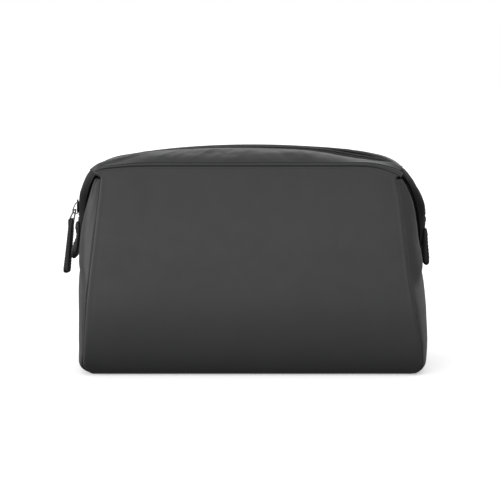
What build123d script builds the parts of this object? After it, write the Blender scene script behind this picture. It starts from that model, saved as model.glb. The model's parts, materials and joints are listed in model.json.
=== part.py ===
"""Wash bag with a doctor-style mouth, as separate solids, in millimetres.

A front and a back panel lean together over a flat base. A zipped strip runs along the
top, turns down over a rounded shoulder at each end and hangs over the pleated gusset,
where a folded tab finishes it. X runs along the zip, Y from front to back, Z up. The
origin is the middle of the base's underside.

Bodies that move: the front half and the back half tilt outwards about the bottom fold
to open the mouth, the zip slider runs round the left shoulder, the wire bail swings on
the slider, the strap swings on the bail, and the right-hand end tab lifts outwards.
"""

import math
import os

from build123d import *

os.makedirs("parts", exist_ok=True)

# ---------------------------------------------------------------- driving dimensions
base_half_width = 132.0  # front panel at the floor, from the middle to its side seam
top_half_width = 114.5  # front panel at its top seam
seam_height = 162.0  # top seam of the front and back panels
crest_height = 177.0  # outer face of the zip coil at mid-length
panel_corner = 10.0  # rounding of the panels' top corners

base_half_depth = 53.4
base_end = 136.8  # the base's ends bow out to here under the gussets
shell = 1.5  # coated fabric with its backing
band_thick = 1.1  # folded fabric of the top bands
lining_thick = 0.5
gap = 0.3  # between pieces of different bodies

# Outer face of the front panel, bottom fold to top seam, as (y, z).
front_profile = [
    (-55.0, 0.5),
    (-61.5, 6.0),
    (-64.6, 20.0),
    (-64.8, 42.0),
    (-60.4, 75.0),
    (-49.8, 115.0),
    (-31.5, seam_height),
]

# The zip's path: a shallow crown along the top, an arc over each shoulder, a short drop.
shoulder_x = 97.5
shoulder_z = 127.5
coil_outer = 42.5  # shoulder radius at the coil's outer face
coil_high = 1.8
tape_thick = 0.6
strip_end = 112.2  # height at which the strip ends above its tab
shoulder_top = shoulder_z + coil_outer
crown = crest_height - shoulder_top
crown_radius = shoulder_x**2 / (2 * crown) + crown / 2
crown_centre = crest_height - crown_radius

tape_half = 6.0
band_edge = 5.5  # where the bands stop beside the coil
coil_half = 3.3
slot_half = 1.3  # half of the channel the slider's wedge runs in

# Gusset, as (height, outermost x at mid-depth).
gusset_bulge = [(0.6, 138.5), (12, 139.5), (30, 140.0), (60, 139.2), (85, 137.0), (108, 134.9)]
gusset_thick = 1.3

# Slider, bail, strap and tab.
slider_half = 5.5
plate_half = 4.6
bail_wire = 0.6
bail_width = 10.0
bail_long = 9.5
bail_lean = 18.0
strap_long = 42.0
strap_wide = 8.0
strap_half_thick = 2.1
strap_lean = 6.0
tab_wide = 22.0
tab_thick = 4.0


# ---------------------------------------------------------------- shared geometry
def save(part, name):
    """Labels a finished piece and writes it."""
    part.label = name
    export_step(part, f"parts/{name}.step")


def half_width_at(z):
    """Side seam of the front and back panels at height z."""
    return base_half_width + (top_half_width - base_half_width) * z / seam_height


def profile_y(z):
    """Outer face of the front panel at height z, between the profile's points."""
    for (y0, z0), (y1, z1) in zip(front_profile, front_profile[1:]):
        if z <= z1:
            return y0 + (y1 - y0) * (z - z0) / (z1 - z0)
    return front_profile[-1][0]


def inset(points, distance):
    """The points moved to the right of the way they run, keeping every leg the same distance off."""
    normals = []
    for (a0, b0), (a1, b1) in zip(points, points[1:]):
        length = math.hypot(a1 - a0, b1 - b0)
        normals.append(((b1 - b0) / length, (a0 - a1) / length))
    moved = []
    for i, (a, b) in enumerate(points):
        before = normals[max(i - 1, 0)]
        after = normals[min(i, len(normals) - 1)]
        share = distance / (1 + before[0] * after[0] + before[1] * after[1])
        moved.append((a + share * (before[0] + after[0]), b + share * (before[1] + after[1])))
    return moved


def wall_section(near, far):
    """Closed section between two insets of the front profile."""
    outer = inset(front_profile, near)
    inner = inset(front_profile, far)
    with BuildLine() as edge:
        Spline(*outer)
        Line(outer[-1], inner[-1])
        Spline(*reversed(inner))
        Line(inner[0], outer[0])
    make_face(edge.edges())


def front_layer(near, far, outline):
    """A layer of the front wall, from inset near to inset far, cut to an outline in X and Z."""
    with BuildPart() as layer:
        with BuildSketch(Plane.YZ):
            wall_section(near, far)
        extrude(amount=base_half_width + 5, both=True)
        with BuildSketch(Plane.XZ):
            outline()
        extrude(amount=90, both=True, mode=Mode.INTERSECT)
    return layer.part


def back_copy(part):
    """The same piece on the back half."""
    with BuildPart() as copy:
        mirror(part, about=Plane.XZ)
    return copy.part


def left_copy(part):
    """The same piece at the left end."""
    with BuildPart() as copy:
        mirror(part, about=Plane.YZ)
    return copy.part


def tapered_outline(side_inset, low, high, corner=0.0):
    """Outline that follows the side seams between two heights."""
    with BuildLine() as edge:
        Polyline(
            (-half_width_at(low) + side_inset, low),
            (half_width_at(low) - side_inset, low),
            (half_width_at(high) - side_inset, high),
            (-half_width_at(high) + side_inset, high),
            close=True,
        )
    made = make_face(edge.edges())
    if corner:
        fillet(made.vertices().group_by(Axis.Y)[-1], corner)


def box_outline(x0, x1, z0, z1, corner=0.0):
    """Rectangle in X and Z."""
    with Locations(((x0 + x1) / 2, (z0 + z1) / 2)):
        if corner:
            RectangleRounded(x1 - x0, z1 - z0, corner)
        else:
            Rectangle(x1 - x0, z1 - z0)


def edge_strip_outline(side, low, high, outer_inset, wide):
    """Narrow strip beside one side seam."""
    low_x = half_width_at(low) - outer_inset
    high_x = half_width_at(high) - outer_inset
    with BuildLine() as edge:
        Polyline(
            (side * low_x, low),
            (side * high_x, high),
            (side * (high_x - wide), high),
            (side * (low_x - wide), low),
            close=True,
        )
    make_face(edge.edges())


def path_plane(centre_x, centre_z, angle):
    """Plane across the zip's path: local x is +Y, local y points outwards from the centre."""
    a = math.radians(angle)
    return Plane(
        origin=(centre_x, 0, centre_z),
        x_dir=(0, 1, 0),
        z_dir=(math.sin(a), 0, -math.cos(a)),
    )


def crest_at(x):
    """Height of the zip's outer face along the crowned top."""
    return crown_centre + math.sqrt(crown_radius**2 - x**2)


def band_section(edge, crest, bow):
    """Curved section of a top band, from its seam edge to its edge beside the coil."""
    along = (crest[0] - edge[0], crest[1] - edge[1])
    length = math.hypot(*along)
    out = (-along[1] / length, along[0] / length)
    middle = ((edge[0] + crest[0]) / 2 + out[0] * bow, (edge[1] + crest[1]) / 2 + out[1] * bow)

    def under(point):
        return (point[0] - out[0] * band_thick, point[1] - out[1] * band_thick)

    with BuildLine() as outline:
        ThreePointArc(edge, middle, crest)
        Line(crest, under(crest))
        ThreePointArc(under(crest), under(middle), under(edge))
        Line(under(edge), edge)
    make_face(outline.edges())


def gusset_section(bulge, thickness, front_x, front_y):
    """Bowed section of an end wall, from its front seam round to its back seam."""
    inner_x = front_x - thickness
    with BuildLine() as outline:
        ThreePointArc((front_x, front_y), (bulge, 0), (front_x, -front_y))
        Line((front_x, -front_y), (inner_x, -front_y))
        ThreePointArc((inner_x, -front_y), (bulge - thickness, 0), (inner_x, front_y))
        Line((inner_x, front_y), (front_x, front_y))
    make_face(outline.edges())


def ribbon(points, thickness):
    """Section of a folded wall, from its outer points inwards."""
    with BuildLine() as outline:
        Polyline(*points, *reversed(inset(points, -thickness)), close=True)
    make_face(outline.edges())


# ---------------------------------------------------------------- front and back halves
front_panel = front_layer(0, shell, lambda: tapered_outline(0, 0, seam_height, panel_corner))
save(front_panel, "front_panel")
save(back_copy(front_panel), "back_panel")

lining_near = shell + 0.2
lining_far = lining_near + lining_thick
lining_front = front_layer(
    lining_near, lining_far, lambda: tapered_outline(3, 8, 155, panel_corner - 3)
)
save(lining_front, "lining_front")
save(back_copy(lining_front), "lining_back")

# What is sewn to the linings lies this far in from the outer face.
sewn_near = lining_far + 0.1

slip_pocket = front_layer(sewn_near, sewn_near + 0.5, lambda: box_outline(-80, 80, 20, 95, 6))
save(slip_pocket, "slip_pocket")

mesh_pocket = back_copy(
    front_layer(sewn_near, sewn_near + 0.6, lambda: box_outline(-95, 95, 20, 100))
)
save(mesh_pocket, "mesh_pocket")

mesh_pocket_elastic = back_copy(
    front_layer(sewn_near, sewn_near + 1.3, lambda: box_outline(-95, 95, 100.1, 106))
)
save(mesh_pocket_elastic, "mesh_pocket_elastic")

care_label = back_copy(front_layer(sewn_near, sewn_near + 0.4, lambda: box_outline(66, 88, 116, 146)))
save(care_label, "care_label")

for side, side_name in ((-1, "left"), (1, "right")):
    side_binding = front_layer(
        sewn_near, sewn_near + 1.0, lambda: edge_strip_outline(side, 10, 146, 3.2, 4)
    )
    save(side_binding, f"seam_binding_front_{side_name}")
    save(back_copy(side_binding), f"seam_binding_back_{side_name}")

top_binding = front_layer(sewn_near, sewn_near + 1.0, lambda: box_outline(-104, 104, 149, 153.5))
save(top_binding, "seam_binding_top_front")
save(back_copy(top_binding), "seam_binding_top_back")

# Top band, between the panel's top seam and the zip, under a crown that falls to each end.
top_run_half = shoulder_x - gap
with BuildPart() as top_band_front:
    for station in (-1, -0.5, 0, 0.5, 1):
        x = station * top_run_half
        with BuildSketch(Plane.YZ.offset(x)):
            band_section(
                (front_profile[-1][0] + 1, seam_height + 1.6), (-band_edge, crest_at(x) - 0.3), 1.8
            )
    loft()
save(top_band_front.part, "top_band_front")
save(back_copy(top_band_front.part), "top_band_back")

# Zip tape and coil along the top.
top_run_angle = math.degrees(math.asin(top_run_half / crown_radius))
top_run_axis = Axis((0, 0, crown_centre), (0, 1, 0))


def top_run_strip(y_outer, y_inner, below_outer, thickness):
    """Strip of rectangular section along the crowned top."""
    with BuildPart() as strip:
        with BuildSketch(path_plane(0, crown_centre, 90 + top_run_angle)):
            high = crown_radius - below_outer
            with Locations(((y_outer + y_inner) / 2, high - thickness / 2)):
                Rectangle(abs(y_outer - y_inner), thickness)
        revolve(axis=top_run_axis, revolution_arc=2 * top_run_angle)
    return strip.part


tape_top = top_run_strip(-tape_half, -gap / 2, coil_high, tape_thick)
save(tape_top, "zip_tape_front")
save(back_copy(tape_top), "zip_tape_back")
coil_top = top_run_strip(-coil_half, -gap / 2, 0, coil_high)
save(coil_top, "zip_coil_front")
save(back_copy(coil_top), "zip_coil_back")

# ---------------------------------------------------------------- base
with BuildPart() as base_panel:
    with BuildSketch():
        with BuildLine():
            for side in (-1, 1):
                end_x = side * (base_half_width - 1)
                ThreePointArc(
                    (end_x, -base_half_depth), (side * base_end, 0), (end_x, base_half_depth)
                )
                across = side * base_half_depth
                Line((-base_half_width + 1, across), (base_half_width - 1, across))
        make_face()
    extrude(amount=shell)
save(base_panel.part, "base_panel")

board_low = shell + 0.1
board_high = board_low + 2.0
with BuildPart() as base_board:
    with BuildSketch(Plane.XY.offset(board_low)):
        RectangleRounded(250, 98, 10)
    extrude(amount=board_high - board_low)
save(base_board.part, "base_board")

with BuildPart() as lining_base:
    with BuildSketch(Plane.XY.offset(board_high + 0.1)):
        RectangleRounded(254, 103, 8)
    extrude(amount=lining_thick)
save(lining_base.part, "lining_base")

# ---------------------------------------------------------------- gussets
# Pleated upper part of the front side, as (seam, ridge, valley, strip edge) at each height.
pleat_levels = [
    (106.5, [(122.2, -51.8), (130.6, -33.0), (132.9, -22.0), (134.0, -12.0)]),
    (118.0, [(120.9, -48.2), (130.8, -31.0), (125.6, -20.5), (128.0, -15.9)]),
    (135.0, [(119.1, -41.8), (126.6, -30.5), (117.5, -24.0), (126.2, -19.8)]),
    (151.0, [(117.4, -34.4), (120.8, -31.2), (113.5, -27.5), (118.0, -24.0)]),
]

with BuildPart() as gusset_right:
    for z, bulge in gusset_bulge:
        with BuildSketch(Plane.XY.offset(z)):
            seam_x = half_width_at(z) + gap + gusset_thick
            gusset_section(bulge, gusset_thick, seam_x, profile_y(z))
    loft()
    for z, fold in pleat_levels:
        with BuildSketch(Plane.XY.offset(z)) as pleat_sketch:
            ribbon(fold, gusset_thick)
    pleat = loft(ruled=True)
    mirror(pleat, about=Plane.XZ)
save(gusset_right.part, "gusset_right")
save(left_copy(gusset_right.part), "gusset_left")

with BuildPart() as lining_right:
    for z, bulge in gusset_bulge:
        if z < 5 or z > 90:
            continue
        with BuildSketch(Plane.XY.offset(z)):
            gusset_section(bulge - 1.8, lining_thick, half_width_at(z) - 1.3, profile_y(z) + 5)
    loft()
save(lining_right.part, "lining_right")
save(left_copy(lining_right.part), "lining_left")

# ---------------------------------------------------------------- shoulders and zip ends
# Front edge of the strip as it turns down, as (angle, y, radius); 0 degrees is the side.
shoulder_edge = [
    (90, -30.0, 36.8),
    (66, -29.0, 36.6),
    (42, -26.0, 35.2),
    (18, -20.0, 33.2),
    (0, -16.5, 32.2),
]
drop_edge = [(120.0, -14.5, 31.8), (strip_end, -13.0, 31.8)]


def save_four(part, name):
    """Writes a right-hand front piece and its copies at the other three corners."""
    back = back_copy(part)
    save(part, f"{name}_right_front")
    save(back, f"{name}_right_back")
    save(left_copy(part), f"{name}_left_front")
    save(left_copy(back), f"{name}_left_back")


with BuildPart() as shoulder_band:
    for angle, y, radius in shoulder_edge:
        with BuildSketch(path_plane(shoulder_x, shoulder_z, angle)):
            band_section((y, radius), (-band_edge, coil_outer - 0.3), 2.2)
    for z, y, radius in drop_edge:
        with BuildSketch(path_plane(shoulder_x, z, 0)):
            band_section((y, radius), (-band_edge, coil_outer - 0.3), 2.4)
    loft()
save_four(shoulder_band.part, "shoulder_band")


def shoulder_strip(y_outer, r_inner, r_outer, low):
    """Strip of rectangular section over the right shoulder and down its drop."""
    with BuildPart() as strip:
        with BuildSketch(path_plane(shoulder_x, shoulder_z, 90)):
            with Locations((-(slot_half + y_outer) / 2, (r_inner + r_outer) / 2)):
                Rectangle(y_outer - slot_half, r_outer - r_inner)
        revolve(axis=Axis((shoulder_x, 0, shoulder_z), (0, 1, 0)), revolution_arc=90)
        with BuildSketch(path_plane(shoulder_x, shoulder_z, 0)):
            with Locations((-(slot_half + y_outer) / 2, (r_inner + r_outer) / 2)):
                Rectangle(y_outer - slot_half, r_outer - r_inner)
        extrude(amount=shoulder_z - low)
    return strip.part


coil_inner = coil_outer - coil_high
save_four(shoulder_strip(tape_half, coil_inner - tape_thick, coil_inner, strip_end), "zip_tape")
save_four(shoulder_strip(coil_half, coil_inner, coil_outer, strip_end + 7.0), "zip_coil")

with BuildPart() as zip_stop_right:
    with BuildSketch(Plane.XY.offset(strip_end + 3.2)):
        with Locations((shoulder_x + coil_inner + 1.15, 0)):
            RectangleRounded(2.1, 2 * coil_half + 0.6, 0.6)
    extrude(amount=3.4)
save(zip_stop_right.part, "zip_stop_right")
save(left_copy(zip_stop_right.part), "zip_stop_left")

# ---------------------------------------------------------------- end tabs
tab_hinge_z = strip_end - 0.3 - tab_thick / 2


def end_tab(top_x, middle_x, tip_x, tip_z):
    """Folded tab at the right-hand end, given the middle of its thickness at three heights."""
    half = tab_thick / 2
    middle_z = (tab_hinge_z + tip_z) / 2 + 1
    with BuildPart() as tab:
        with BuildSketch(Plane.XZ):
            with BuildLine():
                inner = Spline(
                    (top_x - half, tab_hinge_z), (middle_x - half, middle_z), (tip_x - half, tip_z + half)
                )
                outer = Spline(
                    (top_x + half, tab_hinge_z), (middle_x + half, middle_z), (tip_x + half, tip_z + half)
                )
                ThreePointArc(inner @ 0, (top_x, tab_hinge_z + half), outer @ 0)
                ThreePointArc(inner @ 1, (tip_x + 0.3, tip_z), outer @ 1)
            make_face()
        extrude(amount=tab_wide / 2, both=True)
    return tab.part


save(end_tab(138.4, 138.9, 140.3, 81.0), "end_tab_right")
save(left_copy(end_tab(137.6, 140.6, 142.8, 87.0)), "end_tab_left")

# ---------------------------------------------------------------- zip slider, on the left
under_plate = (38.2, 39.3)
top_plate = (42.9, 43.9)
slider_plane = path_plane(-shoulder_x, shoulder_z, 180)

with BuildPart() as slider_body:
    for low, high in (under_plate, top_plate):
        with BuildSketch(slider_plane.offset(-slider_half)):
            with Locations((0, (low + high) / 2)):
                Rectangle(2 * plate_half, high - low)
        extrude(amount=2 * slider_half)
    rims = slider_body.edges().filter_by(Axis.X)
    fillet(rims, 1.8)
    with BuildSketch(slider_plane.offset(-slider_half + 0.4)):
        with Locations((0, (under_plate[1] + top_plate[0]) / 2)):
            Rectangle(2 * slot_half - 0.8, top_plate[0] - under_plate[1] + 0.4)
    extrude(amount=3.2)
    with BuildSketch(slider_plane.offset(-slider_half + 2)):
        with Locations((-plate_half + 0.35, top_plate[0] - 0.4), (plate_half - 0.35, top_plate[0] - 0.4)):
            Rectangle(0.7, 1.0)
    extrude(amount=2 * slider_half - 4)
save(slider_body.part, "slider_body")

window_high = 1.9
crown_thick = 0.9
crown_half = 4.2
crown_z = shoulder_z - 1.2
face_x = -shoulder_x - top_plate[1]
with BuildPart() as slider_crown:
    with BuildSketch(Plane.XZ):
        with BuildLine():
            FilletPolyline(
                (face_x, crown_z + crown_half),
                (face_x - window_high - crown_thick, crown_z + crown_half - 1),
                (face_x - window_high - crown_thick, crown_z - crown_half + 1),
                (face_x, crown_z - crown_half),
                radius=1.6,
            )
            FilletPolyline(
                (face_x, crown_z - crown_half + crown_thick),
                (face_x - window_high, crown_z - crown_half + crown_thick + 0.8),
                (face_x - window_high, crown_z + crown_half - crown_thick - 0.8),
                (face_x, crown_z + crown_half - crown_thick),
                radius=0.7,
            )
            Line((face_x, crown_z + crown_half), (face_x, crown_z + crown_half - crown_thick))
            Line((face_x, crown_z - crown_half), (face_x, crown_z - crown_half + crown_thick))
        make_face()
    extrude(amount=1.3, both=True)
save(slider_crown.part, "slider_crown")

# The bail hangs from the crown's lower end, and the strap from the bail.
bail_x = face_x - window_high / 2
bail_z = crown_z - 1.6
lean = math.radians(bail_lean)
hang_x = bail_x - bail_long * math.sin(lean)
hang_z = bail_z - bail_long * math.cos(lean)
bail_plane = Plane(
    origin=((bail_x + hang_x) / 2, 0, (bail_z + hang_z) / 2),
    x_dir=(0, 1, 0),
    z_dir=(math.cos(lean), 0, -math.sin(lean)),
)
with BuildPart() as pull_bail:
    with BuildSketch(bail_plane):
        RectangleRounded(bail_width + 2 * bail_wire, bail_long + 2 * bail_wire, 2.2)
        inner_width = bail_width - 2 * bail_wire
        RectangleRounded(inner_width, bail_long - 2 * bail_wire, 1.0, mode=Mode.SUBTRACT)
    extrude(amount=bail_wire, both=True)
    fillet(pull_bail.edges(), 0.5)
save(pull_bail.part, "pull_bail")

strap_plane = Plane(
    origin=(hang_x, 0, hang_z),
    x_dir=(math.cos(math.radians(strap_lean)), 0, -math.sin(math.radians(strap_lean))),
    z_dir=(0, -1, 0),
)
with BuildPart() as pull_strap:
    with BuildSketch(strap_plane):
        Circle(strap_half_thick + 0.2)
        with Locations((0, -strap_long / 2)):
            Rectangle(2 * strap_half_thick, strap_long)
    extrude(amount=strap_wide / 2, both=True)
    foot = pull_strap.edges().filter_by(Axis.Y).sort_by(Axis.Z)[:2]
    fillet(foot, 1.5)
    with BuildSketch(strap_plane):
        Circle(bail_wire + 0.4)
    extrude(amount=strap_wide, both=True, mode=Mode.SUBTRACT)
save(pull_strap.part, "pull_strap")
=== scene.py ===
import json
import math

import bpy
import numpy as np
from mathutils import Matrix, Vector, noise


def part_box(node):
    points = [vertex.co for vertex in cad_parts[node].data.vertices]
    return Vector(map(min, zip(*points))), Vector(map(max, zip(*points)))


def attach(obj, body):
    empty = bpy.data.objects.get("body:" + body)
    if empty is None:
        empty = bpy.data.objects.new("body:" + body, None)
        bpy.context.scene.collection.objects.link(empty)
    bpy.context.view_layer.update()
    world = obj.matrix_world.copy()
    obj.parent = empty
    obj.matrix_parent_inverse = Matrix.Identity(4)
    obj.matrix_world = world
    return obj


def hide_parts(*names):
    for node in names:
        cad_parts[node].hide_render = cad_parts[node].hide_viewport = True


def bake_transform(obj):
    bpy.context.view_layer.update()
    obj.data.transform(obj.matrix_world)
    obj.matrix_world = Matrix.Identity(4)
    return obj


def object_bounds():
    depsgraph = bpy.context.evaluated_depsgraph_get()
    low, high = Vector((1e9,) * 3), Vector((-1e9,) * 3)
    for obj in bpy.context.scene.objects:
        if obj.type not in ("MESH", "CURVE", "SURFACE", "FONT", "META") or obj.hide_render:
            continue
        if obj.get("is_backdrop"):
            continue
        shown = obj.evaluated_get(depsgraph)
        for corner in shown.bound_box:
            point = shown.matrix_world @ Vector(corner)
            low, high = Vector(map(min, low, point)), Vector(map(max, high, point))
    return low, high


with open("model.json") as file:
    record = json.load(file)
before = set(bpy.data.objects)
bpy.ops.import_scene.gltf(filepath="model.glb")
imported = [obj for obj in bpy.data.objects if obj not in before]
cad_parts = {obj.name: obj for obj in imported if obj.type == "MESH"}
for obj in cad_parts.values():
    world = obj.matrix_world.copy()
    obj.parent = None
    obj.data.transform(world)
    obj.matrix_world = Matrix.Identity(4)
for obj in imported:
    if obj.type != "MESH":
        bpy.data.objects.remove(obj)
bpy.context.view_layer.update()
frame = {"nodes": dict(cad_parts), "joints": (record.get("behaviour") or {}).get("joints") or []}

MM = 0.001  # shapes are worked out in millimetres and stored in metres


# ---------------------------------------------------------------- sizes, from the frame
def extent(node):
    """Lowest and highest corner of a CAD node in millimetres."""
    low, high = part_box(node)
    return np.array(low) / MM, np.array(high) / MM


BASE_HALF, _, SEAM_Z = extent("front_panel")[1]
TOP_HALF = 114.5  # half the width of a wall at its top seam
CREST_Z = extent("zip_coil_front")[1][2]
COIL_X = extent("zip_coil_right_front")[1][0]
STRIP_END = extent("zip_tape_right_front")[0][2]
# The zip's path before it sags: a shallow crown, a round shoulder at each end, then a straight drop.
SHOULDER_R = 42.5
SHOULDER_X = COIL_X - SHOULDER_R
SHOULDER_Z = 127.5
CROWN = CREST_Z - SHOULDER_Z - SHOULDER_R
CROWN_R = SHOULDER_X**2 / (2 * CROWN) + CROWN / 2
# Section of the front wall's outer face in Y and Z, from its bottom edge to its top seam.
PROFILE = [(-54.6, 0.5), (-58.6, 2.4), (-61.9, 7.5), (-64.3, 18.5), (-64.9, 34.0), (-63.8, 52.0),
           (-59.9, 75.0), (-49.9, 115.0), (-31.5, SEAM_Z)]


# ---------------------------------------------------------------- curves
def ease(t):
    """0 to 1 with level ends."""
    t = np.clip(t, 0.0, 1.0)
    return t * t * (3 - 2 * t)


def bell(distance, width):
    """1 at no distance, and next to nothing from two widths on."""
    return np.exp(-((distance / width) ** 2))


def unit(v):
    """Vectors brought to length 1."""
    return v / np.linalg.norm(v, axis=-1, keepdims=True)


def xyz(*parts):
    """Points from their parts, which are spread over each other."""
    return np.stack(np.broadcast_arrays(*parts), axis=-1)


def spaced(points):
    """Length along a line of points."""
    return np.concatenate([[0], np.cumsum(np.linalg.norm(np.diff(points, axis=0), axis=1))])


def spline(points, at=None, count=None, keys=None):
    """Points on a natural cubic through the given ones, at shares of its length or at key values."""
    p = np.array(points, float)
    t = spaced(p) / spaced(p)[-1] if keys is None else np.array(keys, float)
    at = np.linspace(t[0], t[-1], count) if at is None else np.asarray(at, float)
    n, h = len(t), np.diff(t)
    a, b = np.eye(n), np.zeros_like(p)
    for i in range(1, n - 1):
        a[i, i - 1 : i + 2] = h[i - 1], 2 * (h[i - 1] + h[i]), h[i]
        b[i] = 6 * ((p[i + 1] - p[i]) / h[i] - (p[i] - p[i - 1]) / h[i - 1])
    m = np.linalg.solve(a, b)
    k = np.clip(np.searchsorted(t, at, side="right") - 1, 0, n - 2)
    d, g = (at - t[k])[..., None], h[k][..., None]
    slope = (p[k + 1] - p[k]) / g - g * (2 * m[k] + m[k + 1]) / 6
    return p[k] + d * slope + d**2 * m[k] / 2 + d**3 * (m[k + 1] - m[k]) / (6 * g)


def curve_at(line, lengths, s, reach):
    """Point and outward normal of a plane curve at length s, its slope taken over reach on both sides."""
    before, here, after = ([np.interp(at, lengths, c) for c in line.T] for at in (s - reach, s, s + reach))
    da, db = after[0] - before[0], after[1] - before[1]
    length = np.hypot(da, db)
    return *here, -db / length, da / length


def clustered(length, fine, coarse, grow):
    """Distances from 0 to length, close together at both ends."""
    steps, step = [0.0], fine
    while steps[-1] < length / 2:
        steps.append(steps[-1] + step)
        step = min(step * grow, coarse)
    half = np.array(steps) * (length / 2) / steps[-1]
    return np.concatenate([half, length - half[-2::-1]])


profile = spline(PROFILE, count=600)
profile_s = spaced(profile)


def wall_y(z):
    """Outer face of the front wall at height z."""
    return np.interp(z, profile[:, 1], profile[:, 0])


# How far each side seam of the front wall stands outside the back one's, against height.
LEAN_Z = [0, 26, 61, 76, 110, 138, 153, 162]
LEAN = {
    "left": [0.0, 0.9, 2.4, 2.5, 2.5, 2.6, 3.2, 3.4],
    "right": [0.0, 1.0, -1.2, -1.9, -1.8, -1.6, -2.8, -3.2],
}


def half_width(z, end, side):
    """Side seam of a wall, drawn in at the bottom corners; the front one leans a little to the left."""
    z = np.asarray(z, float)
    straight = BASE_HALF + (TOP_HALF - BASE_HALF) * z / SEAM_Z
    draw = 10.0 if end == "left" and side == "front" else 6.5
    straight = straight - draw * np.clip(1 - z / 9.0, 0, 1) ** 2
    if side == "back":
        return straight
    flare = 5.0 * ease((z - 152.6) / 3.4) if end == "left" else 4.2 * ease((z - 151.8) / 3.2)
    return straight + np.interp(z, LEAN_Z, LEAN[end]) + flare


def wall_frame(s):
    """Point (y, z) and outward normal of the front wall at length s from its bottom edge."""
    return curve_at(profile, profile_s, s, 0.6)


# Height of the front wall's top seam; it falls towards the pinch at each end.
SEAM_LINE = [(-124.5, 154.6), (-123.4, 156.6), (-121.6, 158.4), (-118.0, 159.4), (-112.0, 160.0),
             (-104.0, 160.7), (-92.0, 161.4), (-78.0, 161.6), (80.0, 161.6), (91.0, 161.2), (100.0, 159.8),
             (106.7, 157.8), (113.0, 155.2), (116.2, 153.4), (117.4, 152.0)]


def seam_top(x, side):
    """Height of a wall's top seam at x."""
    if side == "front":
        return np.interp(x, *np.transpose(SEAM_LINE))
    past = np.clip((np.abs(x) - 88.0) / 27.6, 0, 1.1)
    return SEAM_Z - 9.0 * past**2.6


def roll(distance, radius):
    """How far a rolled edge turns under at a distance from it."""
    inside = np.clip(radius - distance, 0, radius)
    return radius - np.sqrt(np.maximum(radius**2 - inside**2, 0))


def wander(points, size, seed):
    """Smooth noise in millimetre space."""
    flat = points.reshape(-1, 3)
    out = [noise.noise(Vector(p) / size + Vector((seed, seed * 1.7, 0))) for p in flat]
    return np.array(out).reshape(points.shape[:-1])


STRIP_FOOT = 97.0  # the strip's bare ends run on behind the end tabs to this height
TUCK = ([85, 98, 106, 109.5, 113], [5.2, 3.6, 2.2, 0.9, 0.0])  # how far they tuck in, against height

# How far each shoulder of the zip's path sinks inside its arc, against the angle from upright.
SAG_ANGLES = [-40, -8, 0, 12, 27, 35, 44, 52, 58, 62, 72, 82, 96]
SAG_RIGHT = [0.0, 0.7, 1.4, 2.6, 3.9, 4.4, 4.9, 5.1, 5.1, 4.9, 3.8, 2.3, 0.9]
SAG_LEFT = [0.0, 0.4, 0.8, 1.0, 0.7, 0.1, -0.7, -0.9, -0.4, 0.0, 0.6, 0.7, 0.7]


def belt_half(sag):
    """Line of the coil's outer face in X and Z for one half, as if it were the right one."""
    crown = np.linspace(0, math.asin(SHOULDER_X / CROWN_R), 160)
    line = []
    for a in crown:
        x = CROWN_R * math.sin(a)
        dip = np.interp(math.degrees(math.atan2(x - SHOULDER_X, SHOULDER_R)), SAG_ANGLES, sag)
        line.append((x, CREST_Z - CROWN_R + CROWN_R * math.cos(a) - dip))
    for a in np.linspace(0, math.pi / 2, 140)[1:]:
        r = SHOULDER_R - np.interp(math.degrees(a), SAG_ANGLES, sag)
        line.append((SHOULDER_X + r * math.sin(a), SHOULDER_Z + r * math.cos(a)))
    for z in np.linspace(SHOULDER_Z, STRIP_FOOT, 60)[1:]:
        line.append((COIL_X - sag[-1] * ease((z - 110) / 15) - np.interp(z, *TUCK), z))
    return np.array(line)


def smoothed(line, passes):
    """The line with its kinks eased and its ends kept."""
    even = np.linspace(0, 1, 700)
    share = spaced(line) / spaced(line)[-1]
    out = np.stack([np.interp(even, share, line[:, i]) for i in (0, 1)], axis=1)
    for _ in range(passes):
        out[1:-1] = (out[:-2] + 2 * out[1:-1] + out[2:]) / 4
    return out


belt = smoothed(np.concatenate([(belt_half(SAG_LEFT) * (-1, 1))[::-1], belt_half(SAG_RIGHT)[1:]]), 60)
belt_s = spaced(belt)
belt_s -= np.interp(0, belt[:, 0], belt_s)
# How far the strip reaches each way from the middle, and how far the coil does.
REACH_L, REACH_R = -belt_s[0], belt_s[-1]
ZIP_L = -np.interp(STRIP_END + 8, belt[:300, 1], belt_s[:300])
ZIP_R = np.interp(-STRIP_END - 8, -belt[-300:, 1], belt_s[-300:])


def belt_at(s):
    """Point and outward normal of the belt, in X and Z, at length s from the middle."""
    return curve_at(belt, belt_s, s, 1.2)


def belt_points(s, y, height):
    """Points at sideways position y and a height over the coil's outer face."""
    x, z, nx, nz = belt_at(s)
    return xyz(x + nx * height, y, z + nz * height)


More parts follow.
